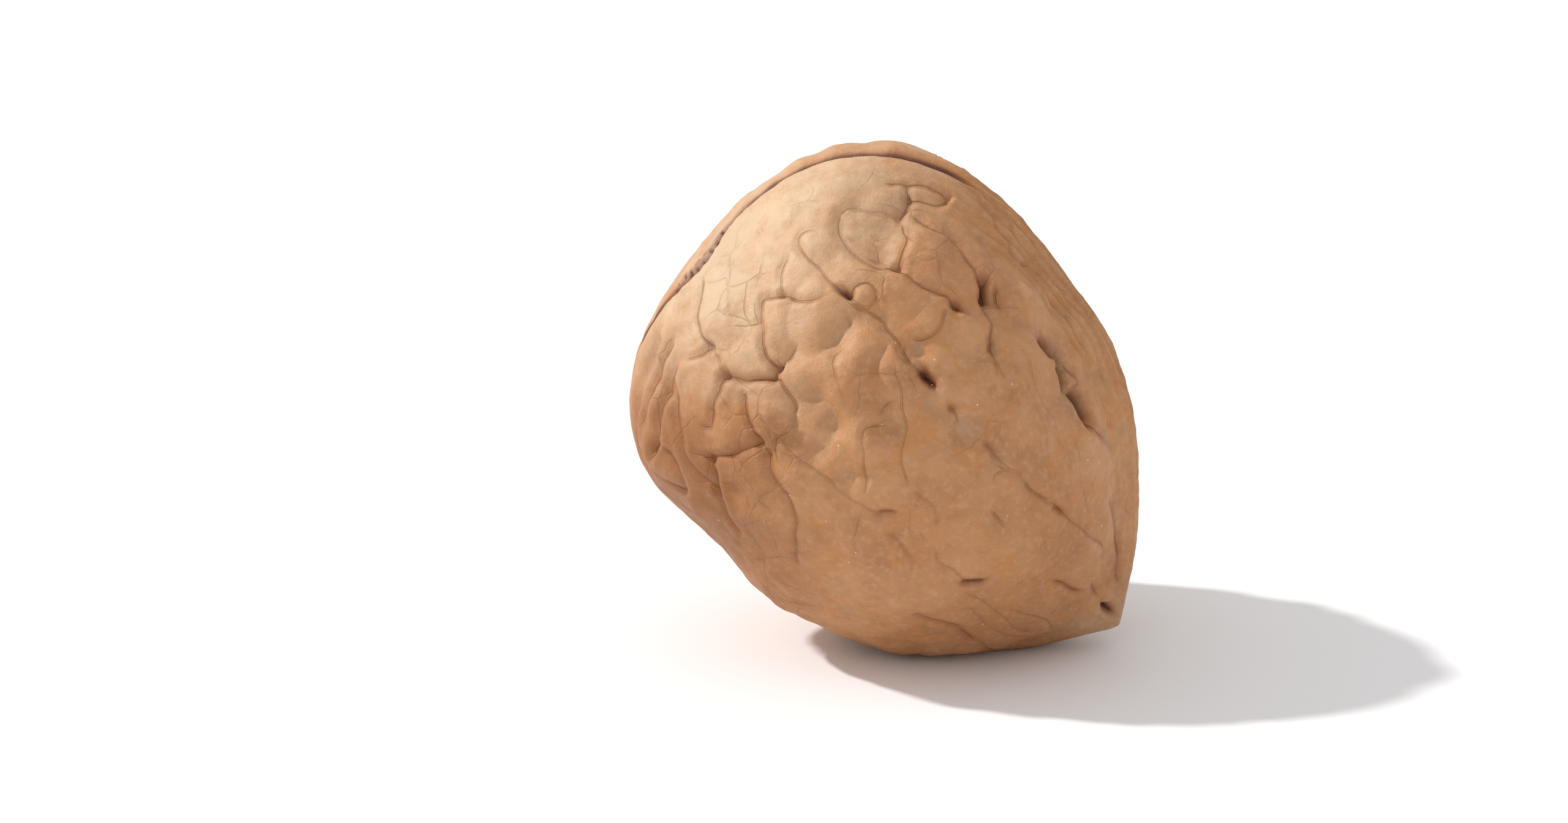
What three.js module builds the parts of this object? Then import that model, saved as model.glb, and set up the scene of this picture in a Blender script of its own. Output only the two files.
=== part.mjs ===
// A whole walnut in its shell, lying tilted on the flat spot of its lower side.
//
// The shell grew as one piece, so it is one closed solid. Its two halves meet at the seam, which runs
// round the nut through the tip and the base. The seam is a raised band, still shut from the tip to
// the shoulder and open as a narrow crack over the base.
//
// The nut's own axes: X points to the tip, Z lies in the seam's plane, and -Y looks out of the front
// cheek. Each half is a square grid folded into a disc, with its centre on a cheek and its rim on the
// seam, so the crack and the band follow the grid's rings. The surface is a radius for each direction.
import * as THREE from 'three';

// ---- driving dimensions, in millimetres and degrees ----

const GRID = 44;                 // cells along the side of one half's square, an even number
const FLAT_DEPTH = 0.7;          // how much of the lowest side is worn flat
const TIP_FALL = 42.3;           // how far the long axis drops towards the tip
const TIP_TURN = -6.9;           // how far the long axis turns towards the front

// Radii of the four outlines, from the tip (0 degrees) to the base (180 degrees).
const OUTLINE_ANGLES = [0, 6, 15, 30, 50, 70, 90, 110, 130, 150, 165, 180];
const UPPER_SEAM = [20.6, 19.4, 18.1, 16.5, 15.7, 15.5, 15.8, 17.8, 20.4, 20.7, 20.2, 19.6];
const LOWER_SEAM = [20.6, 19.5, 18.4, 17.1, 16.1, 15.4, 15.3, 16.3, 18.8, 19.7, 19.6, 19.6];
const FRONT_CHEEK = [20.6, 19.5, 18.0, 16.4, 15.2, 14.9, 15.3, 16.0, 17.2, 18.6, 19.4, 19.7];
const BACK_CHEEK = [20.6, 19.7, 18.5, 17.2, 16.2, 15.8, 15.8, 16.1, 17.1, 18.4, 19.3, 19.7];

// Round the seam: 0 is the tip, 90 the upper side, 180 the base, 270 the lower side.
const SEAM_ANGLES = [0, 30, 60, 90, 110, 128, 147, 160, 170, 178, 186, 195, 215, 240, 270, 320, 360];
const SEAM_WANDER = [0, 1, 2, 3, 5, 8, 6.5, 8, 10, 15, 14, 11, 7, 4, 0, 0, 0];
const BAND_HEIGHT = [0.5, 0.6, 0.6, 0.6, 0.6, 0.5, 0.4, 0.4, 0.4, 0.3, 0.4, 0.4, 0.4, 0.3, 0.2, 0.2, 0.5];
const CRACK_DEPTH = [0.5, 0, 0, 0, 0.2, 0.9, 1.2, 1.2, 1.3, 1.5, 1.3, 1.1, 0.9, 0.4, 0.1, 0.1, 0.5];
const BAND_HALF_WIDTH = 1.7;
const TROUGH_OFFSET = 3.4;       // the shallow trough on each side of the band
const TROUGH_HALF_WIDTH = 1.1;
const TROUGH_DEPTH = 0.3;
const CRACK_HALF_WIDTH = 0.45;
const RIM_RINGS = [0, 1.4, 4.2, 8, 12.5];    // degrees from the seam to its nearest grid rings

// Cheek relief. A place is [towards the tip, towards the upper seam], in degrees from the cheek's
// centre. A swelling or hollow is [place, half width in degrees, height in millimetres].
const FRONT_SWELLS = [
  [[-45, 42], 8, -0.45], [[-22, 41], 7, 0.3], [[-29, 52], 6, 0.25], [[-13, 56], 5, -0.7],
  [[-35, 31], 4, 0.3], [[-47, 14], 9, 0.3], [[-31, 17], 8, 0.35], [[-44, -2], 8, 0.25],
  [[-31, -7], 7, 0.3], [[-36, -18], 7, 0.3], [[-52, -18], 8, 0.3], [[-14, -28], 9, 0.3],
  [[-14, 5], 10, 0.25], [[16, 42], 12, 0.35], [[30, 8], 14, 0.3], [[5, -15], 10, 0.25],
  [[22, 55], 12, -0.4], [[0, 29], 12, -0.3], [[13, -32], 5, -0.4], [[32, -22], 10, 0.2],
  [[-46, -46], 9, 0.4], [[-28, -60], 10, -0.4], [[10, -62], 12, 0.3], [[44, -50], 12, 0.2],
];
const BACK_SWELLS = [
  [[-48, 30], 9, 0.35], [[-30, 48], 8, -0.4], [[-24, 14], 9, 0.35], [[-52, -8], 9, -0.35],
  [[-34, -28], 10, 0.4], [[-8, 40], 10, 0.3], [[-4, -8], 11, 0.25], [[8, -40], 11, -0.35],
  [[26, 22], 12, 0.3], [[34, -14], 12, 0.25], [[-14, -58], 10, 0.3], [[18, 62], 10, -0.3],
];

// A furrow is { width, depth, route }, with its route given as places.
const FRONT_FURROWS = [
  { width: 1.0, depth: 0.9, route: [[4, 58], [13, 59], [20, 56], [28, 55], [36, 51], [48, 50], [62, 47]] },
  { width: 0.9, depth: 0.5, route: [[-55, 27], [-38, 27], [-24, 29], [-7, 28], [16, 26], [42, 24], [62, 21]] },
  { width: 0.9, depth: 0.5, route: [[-41, 52], [-33, 55], [-22, 57], [-13, 55], [-7, 52], [2, 45]] },
  { width: 0.9, depth: 0.4, route: [[-36, 39], [-28, 43], [-20, 47], [-12, 49]] },
  { width: 0.9, depth: 0.4, route: [[-41, -9], [-30, -14], [-16, -19], [-7, -25], [-4, -31], [1, -38]] },
  { width: 1.0, depth: 0.5, route: [[60, 33], [70, 25], [80, 15], [87, 8]] },
  { width: 0.9, depth: 0.3, route: [[36, -27], [50, -27], [60, -29], [72, -38]] },
  { width: 0.9, depth: 0.4, route: [[-49, 17], [-50, 10], [-44, 5], [-37, 0], [-45, -9], [-40, -22]] },
];
const BACK_FURROWS = [
  { width: 1.0, depth: 0.7, route: [[-60, 24], [-40, 20], [-18, 28], [6, 24], [30, 30], [58, 22]] },
  { width: 1.0, depth: 0.6, route: [[-56, -20], [-38, -12], [-14, -24], [12, -20], [40, -30], [66, -22]] },
  { width: 0.9, depth: 0.6, route: [[-44, 56], [-22, 58], [0, 52], [22, 56], [46, 46]] },
  { width: 0.9, depth: 0.5, route: [[-40, -52], [-18, -48], [6, -58], [30, -52]] },
  { width: 0.9, depth: 0.4, route: [[-30, 38], [-34, 22], [-28, 6], [-36, -10]] },
];

const SHELL_COLOUR = 0xae7a53;

// ---- curves and distances ----

const radians = THREE.MathUtils.degToRad;

// Value at x of a smooth curve through the points: on each stretch a cubic, whose slope at a point is
// the mean of the slopes on its two sides, each weighted by the other side's length.
function smoothCurve(xs, ys, x) {
  const last = xs.length - 1;
  let i = 0;
  while (i < last - 1 && x >= xs[i + 1]) i += 1;
  const rise = (k) => (ys[k + 1] - ys[k]) / (xs[k + 1] - xs[k]);
  const slope = (k) => {
    if (k === 0) return rise(0);
    if (k === last) return rise(last - 1);
    const before = xs[k] - xs[k - 1];
    const after = xs[k + 1] - xs[k];
    return (rise(k) * before + rise(k - 1) * after) / (before + after);
  };
  const span = xs[i + 1] - xs[i];
  const t = (x - xs[i]) / span;
  const s = 1 - t;
  return (1 + 2 * t) * s * s * ys[i] + t * s * s * span * slope(i)
    + t * t * (3 - 2 * t) * ys[i + 1] - t * t * s * span * slope(i + 1);
}

const bell = (distance, halfWidth) => Math.exp(-((distance / halfWidth) ** 2));

// Direction of a place on a cheek; side is -1 for the front cheek and +1 for the back one.
function placeDirection([towardsTip, towardsSeam], side) {
  const reach = radians(Math.hypot(towardsTip, towardsSeam));
  const bearing = Math.atan2(towardsSeam, towardsTip);
  return new THREE.Vector3(
    Math.sin(reach) * Math.cos(bearing),
    side * Math.cos(reach),
    Math.sin(reach) * Math.sin(bearing),
  );
}

// The furrows and swellings with their places turned into directions once.
function reliefOf(side, swells, furrows) {
  return {
    swells: swells.map(([place, halfWidth, height]) => (
      { centre: placeDirection(place, side), halfWidth: radians(halfWidth), height })),
    furrows: furrows.map(({ width, depth, route }) => {
      const points = route.map((place) => placeDirection(place, side));
      const stretches = points.slice(1).map((end, i) => new THREE.Line3(points[i], end));
      return { width, depth, stretches };
    }),
  };
}

const FRONT = reliefOf(-1, FRONT_SWELLS, FRONT_FURROWS);
const BACK = reliefOf(1, BACK_SWELLS, BACK_FURROWS);

// ---- the surface ----

// Smooth radius: an ellipse through the seam's and the cheek's outline at this angle from the tip.
function smoothRadius(direction) {
  const angle = THREE.MathUtils.radToDeg(Math.acos(THREE.MathUtils.clamp(direction.x, -1, 1)));
  const seam = smoothCurve(OUTLINE_ANGLES, direction.z > 0 ? UPPER_SEAM : LOWER_SEAM, angle);
  const cheek = smoothCurve(OUTLINE_ANGLES, direction.y < 0 ? FRONT_CHEEK : BACK_CHEEK, angle);
  const around = Math.atan2(direction.y, direction.z);
  return 1 / Math.hypot(Math.cos(around) / seam, Math.sin(around) / cheek);
}

// Band, troughs and crack, from the distance to the seam along the surface.
function seamRelief(aroundSeam, distance) {
  const band = smoothCurve(SEAM_ANGLES, BAND_HEIGHT, aroundSeam) * bell(distance, BAND_HALF_WIDTH);
  const trough = TROUGH_DEPTH * bell(Math.abs(distance) - TROUGH_OFFSET, TROUGH_HALF_WIDTH);
  const crack = smoothCurve(SEAM_ANGLES, CRACK_DEPTH, aroundSeam) * bell(distance, CRACK_HALF_WIDTH);
  return band - trough - crack;
}

// Swellings, hollows and furrows of one cheek.
function cheekRelief(relief, direction, radius) {
  const nearest = new THREE.Vector3();
  let height = 0;
  for (const swell of relief.swells) {
    height += swell.height * bell(direction.distanceTo(swell.centre), swell.halfWidth);
  }
  for (const furrow of relief.furrows) {
    let gap = Infinity;
    for (const stretch of furrow.stretches) {
      stretch.closestPointToPoint(direction, true, nearest);
      gap = Math.min(gap, nearest.distanceTo(direction) * radius);
    }
    height -= furrow.depth * bell(gap, furrow.width);
  }
  return height;
}

// A grid point of one half: its ring tells how far it is from the seam, its place on the ring the
// angle round the seam. The outer rings are set by RIM_RINGS and the rest are spread evenly.
function shellPoint(column, row, side) {
  const rings = GRID / 2;
  const ring = Math.max(Math.abs(column), Math.abs(row));
  const bearing = ringBearing(column, row, ring);
  const aroundSeam = THREE.MathUtils.euclideanModulo(THREE.MathUtils.radToDeg(bearing), 360);
  const wander = smoothCurve(SEAM_ANGLES, SEAM_WANDER, aroundSeam);
  const reach = 90 + side * wander;
  const lastRim = RIM_RINGS.length - 1;
  const fromSeam = rings - ring <= lastRim
    ? RIM_RINGS[rings - ring]
    : reach - (reach - RIM_RINGS[lastRim]) * ring / (rings - lastRim);
  const tilt = radians(reach - fromSeam);
  const direction = new THREE.Vector3(
    Math.sin(tilt) * Math.cos(bearing),
    side * Math.cos(tilt),
    Math.sin(tilt) * Math.sin(bearing),
  );
  const radius = smoothRadius(direction);
  const relief = cheekRelief(side < 0 ? FRONT : BACK, direction, radius)
    * THREE.MathUtils.smoothstep(fromSeam, 3, 12);
  const fromSeamMm = radians(fromSeam) * radius;
  return direction.multiplyScalar(radius + relief + seamRelief(aroundSeam, fromSeamMm));
}

// Bearing of a grid point when the square is folded into a disc: each side of a square ring is
// spread evenly over its quarter turn.
function ringBearing(column, row, ring) {
  if (ring === 0) return 0;
  if (Math.abs(column) >= Math.abs(row)) {
    return (column > 0 ? 0 : Math.PI) + (Math.PI / 4) * (row / column);
  }
  return (row > 0 ? Math.PI / 2 : -Math.PI / 2) - (Math.PI / 4) * (column / row);
}

// Both halves as one closed mesh: the rim's points are the same points on either side.
function walnutShell() {
  const positions = [];
  const indices = [];
  const known = new Map();
  const half = GRID / 2;
  const pointIndex = (column, row, side) => {
    const onRim = Math.max(Math.abs(column), Math.abs(row)) === half;
    const key = `${column},${row},${onRim ? 0 : side}`;
    if (!known.has(key)) {
      known.set(key, positions.length / 3);
      positions.push(...shellPoint(column, row, side).toArray());
    }
    return known.get(key);
  };
  for (const side of [-1, 1]) {
    for (let column = -half; column < half; column += 1) {
      for (let row = -half; row < half; row += 1) {
        const a = pointIndex(column, row, side);
        const b = pointIndex(column + 1, row, side);
        const c = pointIndex(column + 1, row + 1, side);
        const d = pointIndex(column, row + 1, side);
        const foldsUp = (column + 0.5) * (row + 0.5) > 0;
        const corners = foldsUp ? [a, b, c, a, c, d] : [a, b, d, b, c, d];
        indices.push(...(side < 0 ? corners : corners.reverse()));
      }
    }
  }
  const geometry = new THREE.BufferGeometry();
  geometry.setAttribute('position', new THREE.Float32BufferAttribute(positions, 3));
  geometry.setIndex(indices);
  return geometry;
}

// Tips the nut over as it lies, wears the flat spot, and stands it on the ground at the origin.
function layDown(geometry) {
  const pose = new THREE.Euler(0, radians(TIP_FALL), radians(TIP_TURN), 'ZYX');
  geometry.applyMatrix4(new THREE.Matrix4().makeRotationFromEuler(pose));
  geometry.computeBoundingBox();
  const ground = geometry.boundingBox.min.z + FLAT_DEPTH;
  const position = geometry.attributes.position;
  for (let i = 0; i < position.count; i += 1) {
    position.setZ(i, Math.max(position.getZ(i), ground));
  }
  geometry.computeBoundingBox();
  const centre = geometry.boundingBox.getCenter(new THREE.Vector3());
  geometry.translate(-centre.x, -centre.y, -ground);
  geometry.computeVertexNormals();
  return geometry;
}

const walnut = new THREE.Group();
const shell = new THREE.Mesh(
  layDown(walnutShell()),
  new THREE.MeshStandardMaterial({ color: SHELL_COLOUR, roughness: 0.6, metalness: 0 }),
);
shell.name = 'walnut_shell';
walnut.add(shell);

export default walnut;
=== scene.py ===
"""A whole walnut in its shell, lying tilted on a pale studio table."""

import math

import bpy
import numpy as np
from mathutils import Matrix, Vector


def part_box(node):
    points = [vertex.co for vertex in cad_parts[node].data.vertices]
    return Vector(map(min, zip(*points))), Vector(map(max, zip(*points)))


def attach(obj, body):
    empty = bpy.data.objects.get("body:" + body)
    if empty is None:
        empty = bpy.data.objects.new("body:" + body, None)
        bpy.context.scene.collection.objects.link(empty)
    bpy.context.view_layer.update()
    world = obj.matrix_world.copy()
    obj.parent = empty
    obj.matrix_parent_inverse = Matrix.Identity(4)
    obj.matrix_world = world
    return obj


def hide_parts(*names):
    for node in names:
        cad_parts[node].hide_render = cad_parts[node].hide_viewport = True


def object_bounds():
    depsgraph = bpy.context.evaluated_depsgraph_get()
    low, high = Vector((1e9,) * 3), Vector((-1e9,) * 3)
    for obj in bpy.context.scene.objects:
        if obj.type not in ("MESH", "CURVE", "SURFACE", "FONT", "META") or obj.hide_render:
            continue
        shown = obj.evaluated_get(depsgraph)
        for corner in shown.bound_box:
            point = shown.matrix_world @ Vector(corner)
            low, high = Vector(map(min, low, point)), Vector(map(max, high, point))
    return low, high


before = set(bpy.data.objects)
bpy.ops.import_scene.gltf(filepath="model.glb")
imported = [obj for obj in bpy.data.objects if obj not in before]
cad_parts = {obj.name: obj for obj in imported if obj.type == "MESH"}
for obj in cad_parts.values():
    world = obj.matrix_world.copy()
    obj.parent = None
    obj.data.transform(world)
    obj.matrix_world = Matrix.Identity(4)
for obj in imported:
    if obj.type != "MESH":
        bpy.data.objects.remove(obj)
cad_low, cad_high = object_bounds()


# ---- Camera -------------------------------------------------------------------------------------
# A tele lens about 30 cm away, a little above the table, looking down at the front cheek. It aims a
# little to the left of the nut, so the nut stands right of the picture's middle.

MM = 0.001
CAMERA_RISE = math.radians(16)
CAMERA_DISTANCE = 309 * MM
LENS_MM = 100
SENSOR_MM = 36
CHEEK_SHIFT = Vector((1.5, -0.4, -2.5)) * MM  # from the middle of the nut's box to the cheek looked at
AIM_LEFT = 8.6 * MM
AIM_UP = 1.0 * MM
NEAREST_SEEN, FARTHEST_SEEN = 0.01, 20  # metres

cheek_middle = (cad_low + cad_high) / 2 + CHEEK_SHIFT
picture_right = Vector((1, 0, 0))
picture_up = Vector((0, math.sin(CAMERA_RISE), math.cos(CAMERA_RISE)))
towards_camera = Vector((0, -math.cos(CAMERA_RISE), math.sin(CAMERA_RISE)))
camera_place = cheek_middle + towards_camera * CAMERA_DISTANCE
aim = cheek_middle - picture_right * AIM_LEFT + picture_up * AIM_UP

camera = bpy.data.objects.new("camera", bpy.data.cameras.new("camera"))
bpy.context.scene.collection.objects.link(camera)
bpy.context.scene.camera = camera
camera.data.lens = LENS_MM
camera.data.sensor_width = SENSOR_MM
camera.data.clip_start = NEAREST_SEEN
camera.data.clip_end = FARTHEST_SEEN
camera.location = camera_place
camera.rotation_euler = (camera_place - aim).to_track_quat("Z", "Y").to_euler()


# ---- Shell --------------------------------------------------------------------------------------
# The walnut's woody shell, grown as one piece in two halves that meet at the seam. The seam is a
# raised band, shut from the tip to the shoulder and cracked open over the base. It is dried, hard and
# matt, left as it came out of its husk and washed.

# The nut's own axes: X points to the tip, Z lies in the seam's plane, -Y looks out of the front cheek.

GRID = 222  # cells along the side of one half's square
NUT_RADIUS = 17  # mm, about half the nut's width, which turns a size in mm into an angle

TIP_FALL = math.radians(42.3)  # how far the tip points down
TIP_TURN = math.radians(-6.9)  # turn about the upright axis, which brings the tip a little to the front
FLAT_DEPTH = 0.7  # mm worn off underneath

# Radius in mm at each angle from the tip, along the seam's two sides and over the two cheeks.
OUTLINE_ANGLES = [0, 6, 15, 30, 50, 70, 90, 110, 130, 150, 165, 180]
UPPER_SEAM = [20.6, 19.4, 18.1, 16.5, 15.7, 15.5, 15.8, 17.8, 20.4, 20.7, 20.2, 19.6]
LOWER_SEAM = [20.6, 19.5, 18.4, 17.1, 16.1, 15.4, 15.3, 16.3, 18.8, 19.7, 19.6, 19.6]
FRONT_CHEEK = [20.6, 19.5, 18.0, 16.4, 15.2, 14.9, 15.3, 16.0, 17.2, 18.6, 19.4, 19.7]
BACK_CHEEK = [20.6, 19.7, 18.5, 17.2, 16.2, 15.8, 15.8, 16.1, 17.1, 18.4, 19.3, 19.7]

# Round the seam: 0 is the tip, 90 the upper side, 180 the base, 270 the lower side. The seam wanders
# off its plane by so many degrees, and the other rows are in mm: the shut band's height, the crack's
# depth and half width, the step up to the back half's lip, and the swelling of the front half's edge.
SEAM_ANGLES = [0, 30, 60, 90, 110, 128, 147, 160, 170, 178, 186, 195, 215, 240, 270, 320, 360]
SEAM_WANDER = [0, 1, 2, 3, 5, 8, 6.5, 8, 10, 15, 14, 11, 7, 4, 0, 0, 0]
BAND_HEIGHT = [0.5, 0.6, 0.6, 0.6, 0.5, 0.1, 0, 0, 0, 0, 0, 0, 0.1, 0.3, 0.2, 0.2, 0.5]
CRACK_DEPTH = [0.2, 0, 0, 0, 0.1, 0.7, 0.8, 0.8, 0.6, 0.5, 0.6, 0.7, 0.6, 0.2, 0, 0, 0.2]
CRACK_HALF_WIDTH = [
    0.3, 0.1, 0.1, 0.1, 0.1, 0.18, 0.20, 0.22, 0.45, 0.55, 0.45, 0.20, 0.14, 0.1, 0.1, 0.1, 0.3,
]
LIP_STEP = [0, 0, 0, 0, 0.25, 0.55, 0.55, 0.35, 0.10, 0.05, 0.05, 0.1, 0.1, 0, 0, 0, 0]
EDGE_RISE = [0, 0, 0, 0, 0.1, 0.3, 0.35, 0.25, 0.15, 0.1, 0.1, 0.1, 0.1, 0, 0, 0, 0]

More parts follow.
